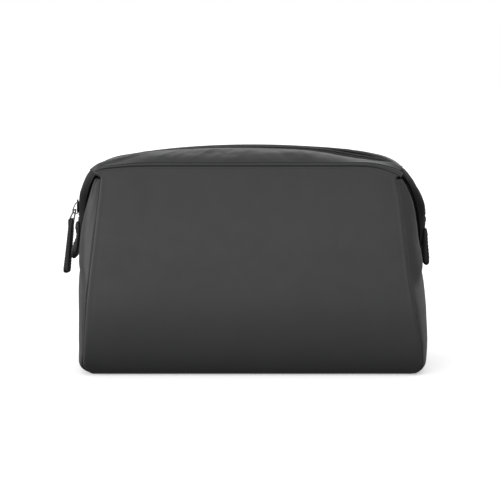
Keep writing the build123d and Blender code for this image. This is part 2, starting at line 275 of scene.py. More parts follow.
# Outer edge of the strip against the length along the belt: front left, front right, and behind.
EDGES = {
    "left": [
        (0, 0, -30.8, 164.2), (60, 60, -30.8, 164.2), (86, 86, -30.9, 164.1), (96, 96, -31, 163.5),
        (105, 105, -31.3, 162.5), (112, 112, -31.6, 161.8), (119, 118.6, -31.6, 160),
        (126, 123.2, -30, 155.8), (134, 127, -26.2, 149.4), (143, 130, -21.8, 142),
        (152, 132.2, -17.6, 134), (161, 134.2, -14.6, 125.6), (170, 135.6, -13.2, 117.4),
        (180, 136, -12.6, 109), (192, 135.2, -12, 98), (208, 133.4, -11.8, 84),
    ],
    "right": [
        (0, 0, -30.8, 164.2), (50, 50, -30.8, 164.2), (70, 70, -30.8, 164.2), (84, 84, -30.9, 164.3),
        (95, 95, -31.1, 163.8), (104, 104, -31.3, 162), (112, 111.4, -31.6, 159.8),
        (119, 117.4, -31.2, 156.6), (127, 122.2, -28.4, 150.8), (136, 126.4, -23.4, 143.4),
        (145, 129.4, -18.4, 135.2), (155, 131.8, -15, 126), (165, 133.6, -13.4, 117),
        (176, 134.4, -12.6, 107), (188, 133.8, -12, 96), (203, 132, -11.8, 83),
    ],
    "back": [
        (0, 0, -30.8, 164.4), (60, 60, -30.8, 164.4), (86, 86, -30.9, 164.2), (98, 98, -31.2, 163),
        (107, 106.6, -31.6, 160.4), (114, 112.6, -31.9, 157.4), (121, 117.4, -30.8, 153.4),
        (129, 121.4, -27.6, 147.4), (138, 125.6, -22.8, 139.8), (148, 129.2, -17.8, 131.4),
        (158, 132, -14.8, 122.6), (167, 133.8, -13.4, 114.8), (178, 134.8, -12.6, 106), (190, 134, -12, 95),
        (205, 132.6, -11.8, 83.5),
    ],
}


def edge_at(s, side):
    """Outer edge of the strip at length s along the belt, as if on the front."""
    s = np.asarray(s, float)
    out = np.zeros((*s.shape, 3))
    for end, sign in (("left", -1), ("right", 1)):
        table = np.array(EDGES["back" if side == "back" else end])
        p = spline(table[:, 1:], at=np.abs(s), keys=table[:, 0])
        p[..., 0] *= sign
        out = np.where((np.sign(s) == sign)[..., None] | ((s == 0) & (sign == 1))[..., None], p, out)
    return out


# ---------------------------------------------------------------- meshes
def add(name, data):
    """Object in the scene that carries the data."""
    o = bpy.data.objects.new(name, data)
    bpy.context.scene.collection.objects.link(o)
    return o


def mesh_object(name, vertices, faces, material, uv=None):
    """Smooth-shaded object from millimetre vertices, with an optional corner map in metres."""
    data = bpy.data.meshes.new(name)
    data.from_pydata((np.asarray(vertices, float) * MM).tolist(), [], faces)
    data.validate()
    data.shade_smooth()
    if uv is not None:
        layer = data.uv_layers.new(name="cut")
        loops = np.zeros(len(data.loops), np.int32)
        data.loops.foreach_get("vertex_index", loops)
        layer.data.foreach_set("uv", (np.asarray(uv, float)[loops] * MM).ravel())
    data.materials.append(material)
    return add(name, data)


def lattice(rows, cols, flip=False, loop=False, ends=False, ring=False):
    """Faces between rows and columns of points. Loop closes each row on itself, and ring each column."""
    faces = []
    for i in range(rows if ring else rows - 1):
        k = (i + 1) % rows
        for j in range(cols if loop else cols - 1):
            m = (j + 1) % cols
            faces.append((i * cols + j, i * cols + m, k * cols + m, k * cols + j))
    if ends:
        faces += [tuple(range(cols))[::-1], tuple(range((rows - 1) * cols, rows * cols))]
    return [face[::-1] for face in faces] if flip else faces


def grid(name, p, material, flip=False, loop=False, ends=False):
    """Object from an array of rows and columns of points, with a map that follows them."""
    faces = lattice(*p.shape[:2], flip, loop, ends)
    along = np.concatenate([[0], np.cumsum(np.linalg.norm(np.diff(p, axis=0), axis=2).mean(1))])
    across = np.concatenate([[0], np.cumsum(np.linalg.norm(np.diff(p, axis=1), axis=2).mean(0))])
    uv = np.stack(np.meshgrid(across, along), axis=-1).reshape(-1, 2)
    return mesh_object(name, p.reshape(-1, 3), faces, material, uv)


def thicken(o, thick, offset=-1.0):
    """Gives a sheet its thickness, behind its face or in front of it."""
    m = o.modifiers.new("thickness", "SOLIDIFY")
    m.thickness, m.offset = thick * MM, offset
    m.use_even_offset = False
    return o


def tube(line, radius, sides, up, closed=False, flat=1.0):
    """Vertices and faces of a round wire along a line; flat squeezes it along up."""
    line = np.asarray(line, float)
    t = unit(np.roll(line, -1, axis=0) - np.roll(line, 1, axis=0) if closed else np.gradient(line, axis=0))
    side = unit(np.cross(t, np.asarray(up, float)))
    top = np.cross(side, t)
    a = np.arange(sides) * 2 * math.pi / sides
    ring = side[:, None] * np.cos(a)[None, :, None] + flat * top[:, None] * np.sin(a)[None, :, None]
    radius = np.broadcast_to(np.asarray(radius, float), (len(line),))
    v = line[:, None] + ring * radius[:, None, None]
    return v.reshape(-1, 3), lattice(len(line), sides, loop=True, ends=not closed, ring=closed)


def gather(name, parts, material):
    """One object from several vertex and face lists."""
    vertices, faces, start = [], [], 0
    for v, f in parts:
        vertices.append(v)
        faces += [tuple(i + start for i in face) for face in f]
        start += len(v)
    return mesh_object(name, np.concatenate(vertices), faces, material)


def stitches(line, outward, pitch, length, radius, lift):
    """Thread capsules along a line, each dipping into the cloth at its ends."""
    s = spaced(line)
    parts = []
    for start in np.arange(0.5 * (pitch - length), s[-1] - length, pitch):
        at = start + np.array([0, 0.12, 0.5, 0.88, 1.0]) * length
        p = xyz(*(np.interp(at, s, line[:, i]) for i in range(3)))
        n = xyz(*(np.interp(at, s, outward[:, i]) for i in range(3)))
        p = p + n * (np.array([-0.25, 0.6, 1.0, 0.6, -0.25]) * lift)[:, None]
        parts.append(tube(p, radius * np.array([0.6, 0.95, 1, 0.95, 0.6]), 6, n[2]))
    return parts


def flipped(p, x=False, y=False):
    """Points mirrored to the other end or the other side."""
    return p * np.array([-1.0 if x else 1.0, -1.0 if y else 1.0, 1.0])


def open_with(o):
    """Bakes the object's placement into its mesh."""
    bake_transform(o)
    return o


# ---------------------------------------------------------------- materials
class Nodes:
    """Short hand for building the nodes of a material or a world."""

    def __init__(self, owner):
        self.owner = owner
        owner.use_nodes = True
        self.tree = owner.node_tree

    def feed(self, node, inputs):
        """Links or sets each of a node's inputs."""
        for k, v in inputs.items():
            if isinstance(v, bpy.types.NodeSocket):
                self.tree.links.new(v, node.inputs[k])
            else:
                node.inputs[k].default_value = v
        return node

    def node(self, kind, inputs=None, **settings):
        n = self.tree.nodes.new(kind)
        for k, v in settings.items():
            setattr(n, k, v)
        return self.feed(n, inputs or {})

    def place(self):
        return self.node("ShaderNodeTexCoord").outputs["Object"]

    def noise(self, vector, scale, detail=3.0, rough=0.55):
        inputs = {"Vector": vector, "Scale": scale, "Detail": detail, "Roughness": rough}
        return self.node("ShaderNodeTexNoise", inputs).outputs["Fac"]

    def wave(self, vector, scale, direction, distort):
        inputs = {"Vector": vector, "Scale": scale, "Distortion": distort}
        return self.node("ShaderNodeTexWave", inputs, bands_direction=direction).outputs["Fac"]

    def math(self, op, a, b, clamp=False):
        return self.node("ShaderNodeMath", {0: a, 1: b}, operation=op, use_clamp=clamp).outputs[0]

    def span(self, value, low, high, to_low=0.0, to_high=1.0):
        return self.node("ShaderNodeMapRange", {0: value, 1: low, 2: high, 3: to_low, 4: to_high}).outputs[0]

    def mix(self, share, a, b):
        return self.node("ShaderNodeMix", {0: share, 6: a, 7: b}, data_type="RGBA").outputs[2]

    def rubbed(self, base, pale, low, high, share):
        """The base colour, paler along its worn edges."""
        edge = self.node("ShaderNodeNewGeometry").outputs["Pointiness"]
        return self.mix(self.span(edge, low, high, 0.0, share), base, pale)

    def finish(self, colour, rough, height=None, depth=0.0001, **constant):
        """Wires up the material's shader; height and depth in metres make its relief."""
        inputs = {k.replace("_", " "): v for k, v in constant.items()}
        inputs |= {"Base Color": colour, "Roughness": rough}
        if height is not None:
            bump = self.node("ShaderNodeBump", {"Height": height, "Distance": depth, "Strength": 1.0})
            inputs["Normal"] = bump.outputs[0]
        self.feed(self.tree.nodes["Principled BSDF"], inputs)
        return self.owner


def grey(v, tint=(1.0, 1.0, 1.0)):
    return (v * tint[0], v * tint[1], v * tint[2], 1.0)


def coated(name, dark, light, rough, gloss=0.5):
    """Matte polyurethane-coated cloth: faint blotches, a fine grain, paler rubbed edges."""
    tint = (0.985, 0.995, 1.02)
    m = Nodes(bpy.data.materials.new(name))
    place = m.place()
    blotch = m.noise(place, 38, 4, 0.6)
    fine = m.noise(place, 2600, 2, 0.5)
    base = m.mix(m.span(blotch, 0.3, 0.7), grey(dark, tint), grey(light, tint))
    speck = m.mix(m.span(fine, 0.35, 0.75, 0.0, 0.35), base, grey(light * 1.3, tint))
    worn = m.rubbed(speck, grey(light * 1.9, tint), 0.51, 0.58, 0.5)
    smear = m.noise(place, 90, 5, 0.65)
    roughness = m.span(smear, 0.3, 0.7, *rough)
    weave = m.math("MULTIPLY", m.wave(place, 420, "X", 1.5), m.wave(place, 420, "Z", 1.5))
    height = m.math("ADD", m.math("MULTIPLY", fine, 0.8), m.math("MULTIPLY", weave, 0.45))
    return m.finish(
        worn, roughness, height, 0.00003, Sheen_Weight=0.08, Sheen_Roughness=0.35, Specular_IOR_Level=gloss
    )


def woven(name, dark, light, pitch, rough=0.62, depth=0.00012, sheen=0.12, gloss=0.5):
    """Woven tape or cloth, its threads following the cut of the piece."""
    m = Nodes(bpy.data.materials.new(name))
    tint = (1.0, 1.0, 1.02)
    cut = m.node("ShaderNodeUVMap", uv_map="cut").outputs[0]
    scale = 2 * math.pi / (20 * pitch * MM)
    warp, weft = m.wave(cut, scale, "X", 0.4), m.wave(cut, scale, "Y", 0.4)
    over = m.wave(cut, scale / 2, "DIAGONAL", 0.2)
    under = m.math("SUBTRACT", 1.0, over)
    thread = m.math("MAXIMUM", m.math("MULTIPLY", warp, over), m.math("MULTIPLY", weft, under))
    fuzz = m.noise(m.place(), 1800, 3, 0.6)
    blend = m.math("ADD", m.math("MULTIPLY", thread, 0.75), m.math("MULTIPLY", fuzz, 0.4), True)
    colour = m.mix(blend, grey(dark, tint), grey(light, tint))
    roughness = m.span(fuzz, 0.3, 0.7, rough - 0.06, rough + 0.08)
    height = m.math("ADD", thread, m.math("MULTIPLY", fuzz, 0.3))
    return m.finish(
        colour, roughness, height, depth, Sheen_Weight=sheen, Sheen_Roughness=0.4, Specular_IOR_Level=gloss
    )


def leather(name, dark, light, rough):
    """Smooth coated strap with a fine pebbled grain and rubbed edges."""
    m = Nodes(bpy.data.materials.new(name))
    place = m.place()
    cells = m.node("ShaderNodeTexVoronoi", {"Vector": place, "Scale": 1500.0}, feature="SMOOTH_F1")
    fine = m.noise(place, 700, 4, 0.6)
    base = m.mix(m.span(fine, 0.3, 0.7), grey(dark), grey(light))
    worn = m.rubbed(base, grey(light * 2.2), 0.52, 0.6, 0.55)
    roughness = m.span(m.noise(place, 300, 4), 0.3, 0.7, *rough)
    height = m.math("ADD", cells.outputs["Distance"], m.math("MULTIPLY", fine, 0.4))
    return m.finish(worn, roughness, height, 0.00006)


def metal(name, dark, light, rough=(0.22, 0.4)):
    """Dark plated metal, with scuffs and brighter rubbed edges."""
    m = Nodes(bpy.data.materials.new(name))
    place = m.place()
    scuff = m.noise(place, 500, 5, 0.7)
    lines = m.wave(place, 900, "Y", 3.0)
    base = m.mix(m.span(scuff, 0.35, 0.7), grey(dark), grey(light))
    worn = m.rubbed(base, grey(light * 2.5), 0.52, 0.62, 0.8)
    roughness = m.span(scuff, 0.3, 0.75, *rough)
    height = m.math("ADD", scuff, m.math("MULTIPLY", lines, 0.2))
    return m.finish(worn, roughness, height, 0.000015, Metallic=1.0)


def thread(name, value):
    """Twisted sewing thread."""
    m = Nodes(bpy.data.materials.new(name))
    twist = m.wave(m.place(), 1100, "DIAGONAL", 1.0)
    colour = m.mix(twist, grey(value * 0.6), grey(value * 1.5))
    return m.finish(colour, 0.5, twist, 0.00006, Sheen_Weight=0.2)


def moulded(name, dark, light, rough):
    """Nylon or board with a slight mottle."""
    m = Nodes(bpy.data.materials.new(name))
    place = m.place()
    mottle = m.noise(place, 420, 4, 0.6)
    colour = m.mix(m.span(mottle, 0.3, 0.7), grey(dark), grey(light))
    roughness = m.span(m.noise(place, 900, 2), 0.3, 0.7, rough - 0.07, rough + 0.1)
    return m.finish(colour, roughness, mottle, 0.00003)


shell_cloth = coated("coated_cloth", 0.027, 0.030, (0.47, 0.53))
band_cloth = coated("coated_band", 0.029, 0.033, (0.47, 0.55), gloss=0.4)
# Shoulder drops: a real dark woven tape, made darker still by painted shade that stands in for the shadowed
# fold beside the ridge at each end.
shoulder_cloth_painted_shade = woven("shoulder_weave_painted_shade", 0.008, 0.017, 0.6, 0.6, 0.0001, sheen=0.04, gloss=0.25)
tab_cloth = leather("tab_cloth", 0.006, 0.011, (0.34, 0.46))
strap_hide = leather("strap_hide", 0.006, 0.010, (0.3, 0.42))
tape_weave = woven("zip_weave", 0.008, 0.026, 0.55)
coil_nylon = moulded("coil_nylon", 0.028, 0.042, 0.36)
slider_metal = metal("slider_metal", 0.07, 0.11)
wire_metal = metal("wire_metal", 0.12, 0.20, (0.18, 0.32))
stitch_thread = thread("stitch_thread", 0.045)
strap_thread = thread("strap_thread", 0.035)
lining_weave = woven("lining_weave", 0.045, 0.085, 0.34, 0.55, 0.00005)
binding_weave = woven("binding_weave", 0.010, 0.030, 0.7, 0.66)
elastic_weave = woven("elastic_weave", 0.012, 0.034, 1.1, 0.66, 0.0003)
label_weave = woven("label_weave", 0.50, 0.62, 0.25, 0.5, 0.00003)
board_plastic = moulded("board_plastic", 0.10, 0.13, 0.5)


# ---------------------------------------------------------------- front and back walls
def wall_grid(side, inset=0.0, side_inset=0.0, low=0.0, top_inset=0.0, fine=0.45):
    """Rows and columns of a wall's face, as if on the front, moved in by inset."""
    columns = clustered(2.0, fine / BASE_HALF, 6.0 / BASE_HALF, 1.32) - 1
    rows = clustered(1.0, fine / 170, 5.0 / 170, 1.32)
    u = columns[None, :]

    def reach(z):
        return np.where(u < 0, half_width(z, "left", side), half_width(z, "right", side)) - side_inset

    z = np.full_like(u, SEAM_Z - top_inset)
    for _ in range(12):
        z = 0.5 * z + 0.5 * (seam_top(u * reach(z), side) - top_inset)
    top_s = np.interp(z, profile[:, 1], profile_s)
    s = low + rows[:, None] * (top_s - low)
    y, z, ny, nz = wall_frame(s)
    x = u * reach(z)
    from_side = (1 - np.abs(u)) * reach(z)
    out = 0.9 * (1 - u**2) * np.sin(math.pi * np.clip((s - 20) / 150, 0, 1))
    return x, y, z, ny, nz, out - inset, from_side, top_s - s


def wall_skin(name, side):
    """The outer cloth of one wall, its edges rolled into the seams."""
    x, y, z, ny, nz, out, from_side, from_top = wall_grid(side)
    out = out - roll(from_side, 2.0) - roll(from_top, 0.3)
    # The seam allowance shows as a shallow channel beside each side seam.
    out = out - 0.24 * bell(from_side - 4.3, 0.8) * ease((z - 20) / 60)
    # Soft pulls run down from the pinch at each top corner.
    near = bell(z - 140, 22.0)
    for at, wide, high in ((9.0, 2.2, 0.16), (15.5, 3.0, 0.14), (24.0, 5.0, 0.12)):
        out = out + high * near * bell(from_side - at - (SEAM_Z - z) * 0.14, wide)
    p = xyz(x, y + ny * out, z + nz * out)
    seed = 3.0 if side == "front" else 9.0
    sway = 0.42 * wander(p, 60.0, seed) + 0.10 * wander(p, 19.0, seed + 2)
    fade = np.clip(from_side / 14, 0, 1) * np.clip(from_top / 10, 0, 1) * ease(z / 25)
    p[..., 1] += ny * sway * fade
    p[..., 2] += nz * sway * fade
    back = side == "back"
    return thicken(grid(name, flipped(p, y=back), shell_cloth, flip=back), 1.2)


def wall_line(xs, from_top, lift, side):
    """Line on a wall a set distance under its top seam, with the outward direction."""
    top_s = np.interp(seam_top(xs, side), profile[:, 1], profile_s)
    y, z, ny, nz = wall_frame(top_s - from_top)
    line = xyz(xs, y + ny * lift, z + nz * lift)
    return line, xyz(0.0, ny, nz)


def wall_patch(x0, x1, z0, z1, inset, cols, rows):
    """Patch that follows the inner face of the front wall."""
    s = np.linspace(*np.interp([z0, z1], profile[:, 1], profile_s), rows)[:, None]
    y, z, ny, nz = wall_frame(s)
    x = np.linspace(x0, x1, cols)[None, :]
    return xyz(x, y - ny * inset, z - nz * inset)


# ---------------------------------------------------------------- strip: bands, tapes, coils
# Height of the front band's folded rim over the coil's outer face, against the length along the belt.
RIM_KEYS = [-210, -110, -80, -48, 0, 33, 46, 60, 72, 85, 97, 110, 122, 135, 210]
RIM_DROP = [0.0, -0.3, -0.5, -1.6, -2.6, -2.9, -3.1, -4.0, -4.9, -5.1, -4.6, -3.4, -1.0, -0.3, 0.0]
# Slanting pulls in the front band's top: where along the belt, run across the band, width and height.
TOP_PULLS = [(-66, 26, 3.2, 0.5), (-51, 22, 2.4, -0.45), (-38, 24, 3.0, 0.5), (-20, 16, 2.6, -0.4),
             (-6, 20, 3.4, 0.4), (22, -14, 3.0, -0.35), (40, -18, 3.6, 0.35)]
# A band's turned edges: shares of the way along the chord and out from it, for each column of the hem.
TOP_HEM = ([0.55, 0.75, 0.45, -0.6, -2.6, -5.0], [-0.25, -0.8, -1.4, -1.75, -1.8, -1.8])
LOW_HEM = ([0.9, 0.35, 0.0, -0.12], [-3.4, -2.3, -1.2, -0.4])
LOW_HEM_TURN = [3.2, 1.8, 0.7, 0.2]  # what the low one gains along the chord over the drops


def zip_dip(s):
    """How far the zip sinks between its bands where the strip gapes."""
    return -0.9 * bell(s + 5, 60.0) - 2.0 * bell(s - 86, 27.0)


def crest_of(s, side):
    """Sideways distance and height of the band's folded rim beside the coil."""
    gape = bell(s - 84, 26.0)
    if side == "front":
        return -5.2 - 2.6 * gape, np.interp(s, RIM_KEYS, RIM_DROP)
    return -5.2 - 0.4 * gape, -0.1 + 0.7 * gape


def columns(values):
    """Numbers laid along the second of three axes."""
    return np.array(values)[None, :, None]


def band(name, side, start, stop, slant, material, lower):
    """Folded strip between a wall's top seam and the coil, its ends cut on a slant."""
    rows = np.arange(0, 1.0001, 1.0 / max(8, round((stop - start) / 1.5)))
    t = np.concatenate([[0.0, 0.02, 0.05], np.linspace(0.1, 0.9, 17), [0.95, 0.98, 1.0]])
    mean = start + (stop - start) * rows[:, None]
    reach = slant[0] * (1 - rows[:, None]) ** 3 + slant[1] * rows[:, None] ** 3
    s = np.clip(mean + reach * t[None, :], -REACH_L, REACH_R)
    edge = edge_at(s, side)
    y_crest, h_crest = crest_of(s, side)
    crest = belt_points(s, y_crest, h_crest)
    chord = crest - edge
    along = unit(chord)
    _, _, nx, nz = belt_at(s)
    normal = xyz(nx, 0.0, nz)
    out = unit(normal - along * np.sum(normal * along, axis=2)[..., None])
    away = np.abs(s)
    bow = 2.6 + 1.0 * ease((away - 90) / 30) - 2.2 * ease((away - 150) / 20)
    bow = bow - 2.3 * bell(s + 112, 20.0)
    if side == "front":
        bow = bow - 2.3 * bell(s - 92, 22.0)
    tt = t[None, :]
    lift = bow * 4 * tt * (1 - tt) * (0.8 + 0.4 * (1 - tt)) - lower
    body = edge + chord * tt[..., None]
    soft = np.sin(math.pi * tt) ** 0.8 * ease((178 - away) / 25)
    seed = 21.0 if side == "front" else 33.0
    lift = lift + soft * wander(body * np.array([0.55, 1.0, 1.0]), 15.0, seed)
    lift = lift + soft * 0.35 * wander(body, 6.0, seed + 4)
    # Slanting pulls in the top, and the fold that runs into each corner.
    if side == "front":
        for at, run, wide, high in TOP_PULLS:
            lift = lift + high * soft * bell(s - at - run * (tt - 0.5), wide)
    for sign in (-1, 1):
        inward = 124 - sign * s
        line = 0.10 + 0.013 * inward
        present = ease((inward + 2) / 6) * ease((48 - inward) / 26)
        strong = 1.6 if sign < 0 else 0.6
        lift = lift + strong * present * bell(tt - line, 0.08)
        lift = lift - 0.7 * strong * present * bell(tt - line - 0.22, 0.12)
    body = body + out * lift[..., None]
    fat = (1.0 + 0.7 * bell(s[:, -1] - 88, 28.0))[:, None, None]
    top_hem = along[:, -1:] * columns(TOP_HEM[0]) + out[:, -1:] * columns(TOP_HEM[1])
    turned = ease((away[:, :1] - 120) / 12)[..., None]
    low_hem = along[:, :1] * (columns(LOW_HEM[0]) + turned * columns(LOW_HEM_TURN))
    low_hem = low_hem + out[:, :1] * columns(LOW_HEM[1]) * (1 - 0.6 * turned)
    p = np.concatenate([body[:, :1] + low_hem, body, body[:, -1:] + fat * top_hem], axis=1)
    return thicken(grid(name, flipped(p, y=side == "back"), material, flip=side == "front"), 0.8)


def tape(name, side):
    """The woven tape under the coil."""
    s = np.arange(0.5 - REACH_L, REACH_R - 0.5, 1.5)
    y = np.array([-0.45, -1.5, -3.0, -4.5, -6.5, -9.5])
    dip = np.array([0, 0, 0, 0.1, 0.5, 1.6])
    _, h_crest = crest_of(s, side)
    drop = (h_crest - zip_dip(s))[:, None] * ease((-y[None, :] - 2.5) / 4.0)
    height = -1.85 - dip[None, :] + zip_dip(s)[:, None] + np.minimum(drop, 0.3)
    p = belt_points(s[:, None], y[None, :], height)
    return thicken(grid(name, flipped(p, y=side == "back"), tape_weave, flip=side == "front"), 0.5)


def coil(name, side):
    """One spiral of the zip, from end to end of the strip."""
    pitch, per_turn = 1.5, 10
    start, end = -ZIP_L, ZIP_R
    turns = int((end - start) / pitch)
    a = np.arange(turns * per_turn) * 2 * math.pi / per_turn
    shift = 0.0 if side == "front" else 0.5 * pitch
    s = start + shift + (a / (2 * math.pi) + 0.12 * np.sin(a)) * pitch
    line = belt_points(s, -1.55 + 1.75 * np.cos(a), -0.85 + 0.62 * np.sin(a) + zip_dip(s))
    v, f = tube(line, 0.32, 5, (0.0, 1.0, 0.03))
    s = np.arange(start, end, 2.0)
    core, core_faces = tube(belt_points(s, -2.2, -0.95 + zip_dip(s)), 0.45, 6, (0.0, 1.0, 0.03))
    back = side == "back"
    return gather(name, [(flipped(v, y=back), f), (flipped(core, y=back), core_faces)], coil_nylon)


# ---------------------------------------------------------------- gussets
# How far a gusset bulges at its middle, against height.
BULGE_Z = [0.3, 3, 8, 20, 42, 60, 76, 90, 102, 112]
BULGE_X = {
    "left": [133.6, 136.6, 138.6, 139.6, 139.8, 139.2, 137.8, 135.0, 133.2, 131.0],
    "right": [133.6, 136.6, 138.6, 139.6, 139.6, 138.4, 136.0, 133.6, 132.4, 131.0],
}
# The pleat in its top: the ridge that stands out and the valley behind it, against height.
PLEAT_Z = [66, 76, 84, 92, 100, 106, 115, 124, 134, 141, 146, 150, 153]
RIDGE_X = {
    "left": [137.6, 136.4, 135.9, 135.6, 135.3, 134.8, 133.4, 131.4, 128.4, 126.4, 124.9, 123.4, 121.4],
    "right": [137.8, 136.0, 134.4, 132.9, 131.4, 130.4, 129.5, 127.9, 125.3, 122.6, 120.4, 118.0, 115.4],
    "back": [138.4, 137.0, 135.6, 134.4, 133.2, 132.4, 131.4, 129.6, 126.8, 124.4, 122.4, 120.4, 118.0],
}
RIDGE_Y = [-38.4, -37.3, -36.4, -35.6, -34.6, -34.0, -33.4, -33.0, -32.8, -32.6, -32.4, -32.0, -31.6]
VALLEY = [(137.4, -20.0), (136.4, -19.0), (134.4, -17.4), (132.2, -16.0), (130.4, -15.0), (129.0, -14.5),
          (126.0, -14.5), (122.5, -15.0), (118.6, -16.5), (115.6, -18.0), (113.6, -20.0), (112.4, -22.0),
          (111.4, -24.0)]
# Where the pleat's points fall, from the wall's seam to under the strip.
PLEAT_SHARES = [0.0, 0.08, 0.26, 0.43, 0.49, 0.70, 0.86, 1.0]


def gusset_seam(z, end, side):
    """Where a gusset leaves the wall's side seam, a little outside and behind the wall's edge."""
    gap, deep = (0.35, 2.3) if (end, side) == ("right", "front") else (0.7, 3.0)
    return half_width(z, end, side) + gap + 0.45 * ease((128 - z) / 20), wall_y(z) + deep


def pleat(z, end, side, middle_x):
    """Section through the folded top of a gusset, from the wall's seam to under the strip."""
    key = "back" if side == "back" else end
    ridge = np.array([np.interp(z, PLEAT_Z, RIDGE_X[key]), np.interp(z, PLEAT_Z, RIDGE_Y)])
    valley = np.array([np.interp(z, PLEAT_Z, np.array(VALLEY)[:, i]) for i in (0, 1)])
    seam = np.array(gusset_seam(z, end, side))
    run = np.linspace(110, 203, 400)
    line = edge_at(run if end == "right" else -run, side)
    k = np.argmin(np.abs(line[:, 2] - z))
    edge = np.array([abs(line[k, 0]), line[k, 1]])
    shoulder = seam + (1.4, 0.2) + 0.10 * (ridge - seam)
    brow = seam + (ridge - seam) * (0.66, 0.38)
    inner = ridge * 0.86 + valley * 0.14 + (-0.5, 0.9)
    # Low down the fold opens out into the gusset's plain bulge.
    folded = ease((z - 76) / 18)
    valley[0] += (middle_x - 0.4 - valley[0]) * (1 - ease((z - 70) / 20))
    under = np.array([middle_x - 0.2, -11.0]) * (1 - folded) + (edge + (-1.6, 4.6)) * folded
    last_x = middle_x * (1 - folded) + (edge[0] - 2.6) * folded
    last = np.array([last_x, (edge[1] + 9.0) * ease((z - 102) / 8)])
    return np.array([seam, shoulder, brow, ridge, inner, valley, under, last])


def gusset_grid(end, side, inset=0.0, low=0.3, high=151.2, fine=1.6):
    """Half of a gusset, from the wall's seam to the middle or under the strip, as if front right."""
    bulge_x = np.array(BULGE_X[end])
    levels = np.concatenate([np.arange(low, high, fine), [high]])
    q = np.array([0, 0.012, 0.03, 0.055, 0.08, *np.linspace(0.11, 1.0, 44)])
    t = q[:, None]
    shapes = []
    for z in levels:
        f = np.array(gusset_seam(z, end, side))
        c = np.array([spline(bulge_x[:, None], at=[min(z, 112)], keys=BULGE_Z)[0, 0], 0.0])
        b1, b2 = f + (3.0, 0.4), np.array([c[0], f[1] * 0.52])
        arc = (1 - t) ** 3 * f + 3 * (1 - t) ** 2 * t * b1 + 3 * (1 - t) * t**2 * b2 + t**3 * c
        share = ease((z - 66) / 22)
        if share > 0:
            folded = spline(pleat(z, end, side, c[0]), at=q, keys=PLEAT_SHARES)
            arc = arc * (1 - share) + folded * share
        if z < 102:
            arc[-2, 0] = arc[-1, 0]
        shapes.append(arc)
    p = np.stack(shapes)
    p = np.concatenate([p, np.broadcast_to(levels[:, None, None], (*p.shape[:2], 1))], axis=2)
    if inset:
        d = np.gradient(p, axis=1)
        n = xyz(d[..., 1], -d[..., 0], 0.0)
        p = p - n / np.maximum(np.linalg.norm(n, axis=2), 1e-6)[..., None] * inset
    return p


def gusset(name, end, side):
    """Half of one gusset, its top edge turned in under the strip to close the pinch."""
    p = gusset_grid(end, side)
    turn = np.array([(-0.4, 2.4, -0.4), (-1.6, 6.0, 0.6), (-6.0, 9.0, 6.0)])
    p = np.concatenate([p, p[-1:] + turn[:, None, :]])
    # The seam allowance runs on behind the wall.
    allowance = np.array([(-4.2, 1.3, 0.0), (-1.8, 0.8, 0.0)])
    p = np.concatenate([p[:, :1] + allowance[None, :, :], p], axis=1)
    seed = {"left": 41.0, "right": 47.0}[end] + (5.0 if side == "back" else 0.0)
    sway = 0.7 * wander(p, 30.0, seed) + 0.2 * wander(p, 9.0, seed + 3)
    fade = np.clip(np.arange(p.shape[1]) / 10.0, 0, 1)[None, :] * ease((150 - p[..., 2]) / 20)
    fade = fade * np.clip(p[..., 1] / -6.0, 0, 1)
    p[..., 0] += sway * fade
    if end == "left":
        p[..., 0] -= 0.9 * ease((70 - p[..., 2]) / 40) * ease(p[..., 2] / 20)
    mirror_x, mirror_y = end == "left", side == "back"
    o = thicken(grid(name, flipped(p, mirror_x, mirror_y), shell_cloth, flip=mirror_x != mirror_y), 1.0)
    o.modifiers["thickness"].use_rim = False
    return o


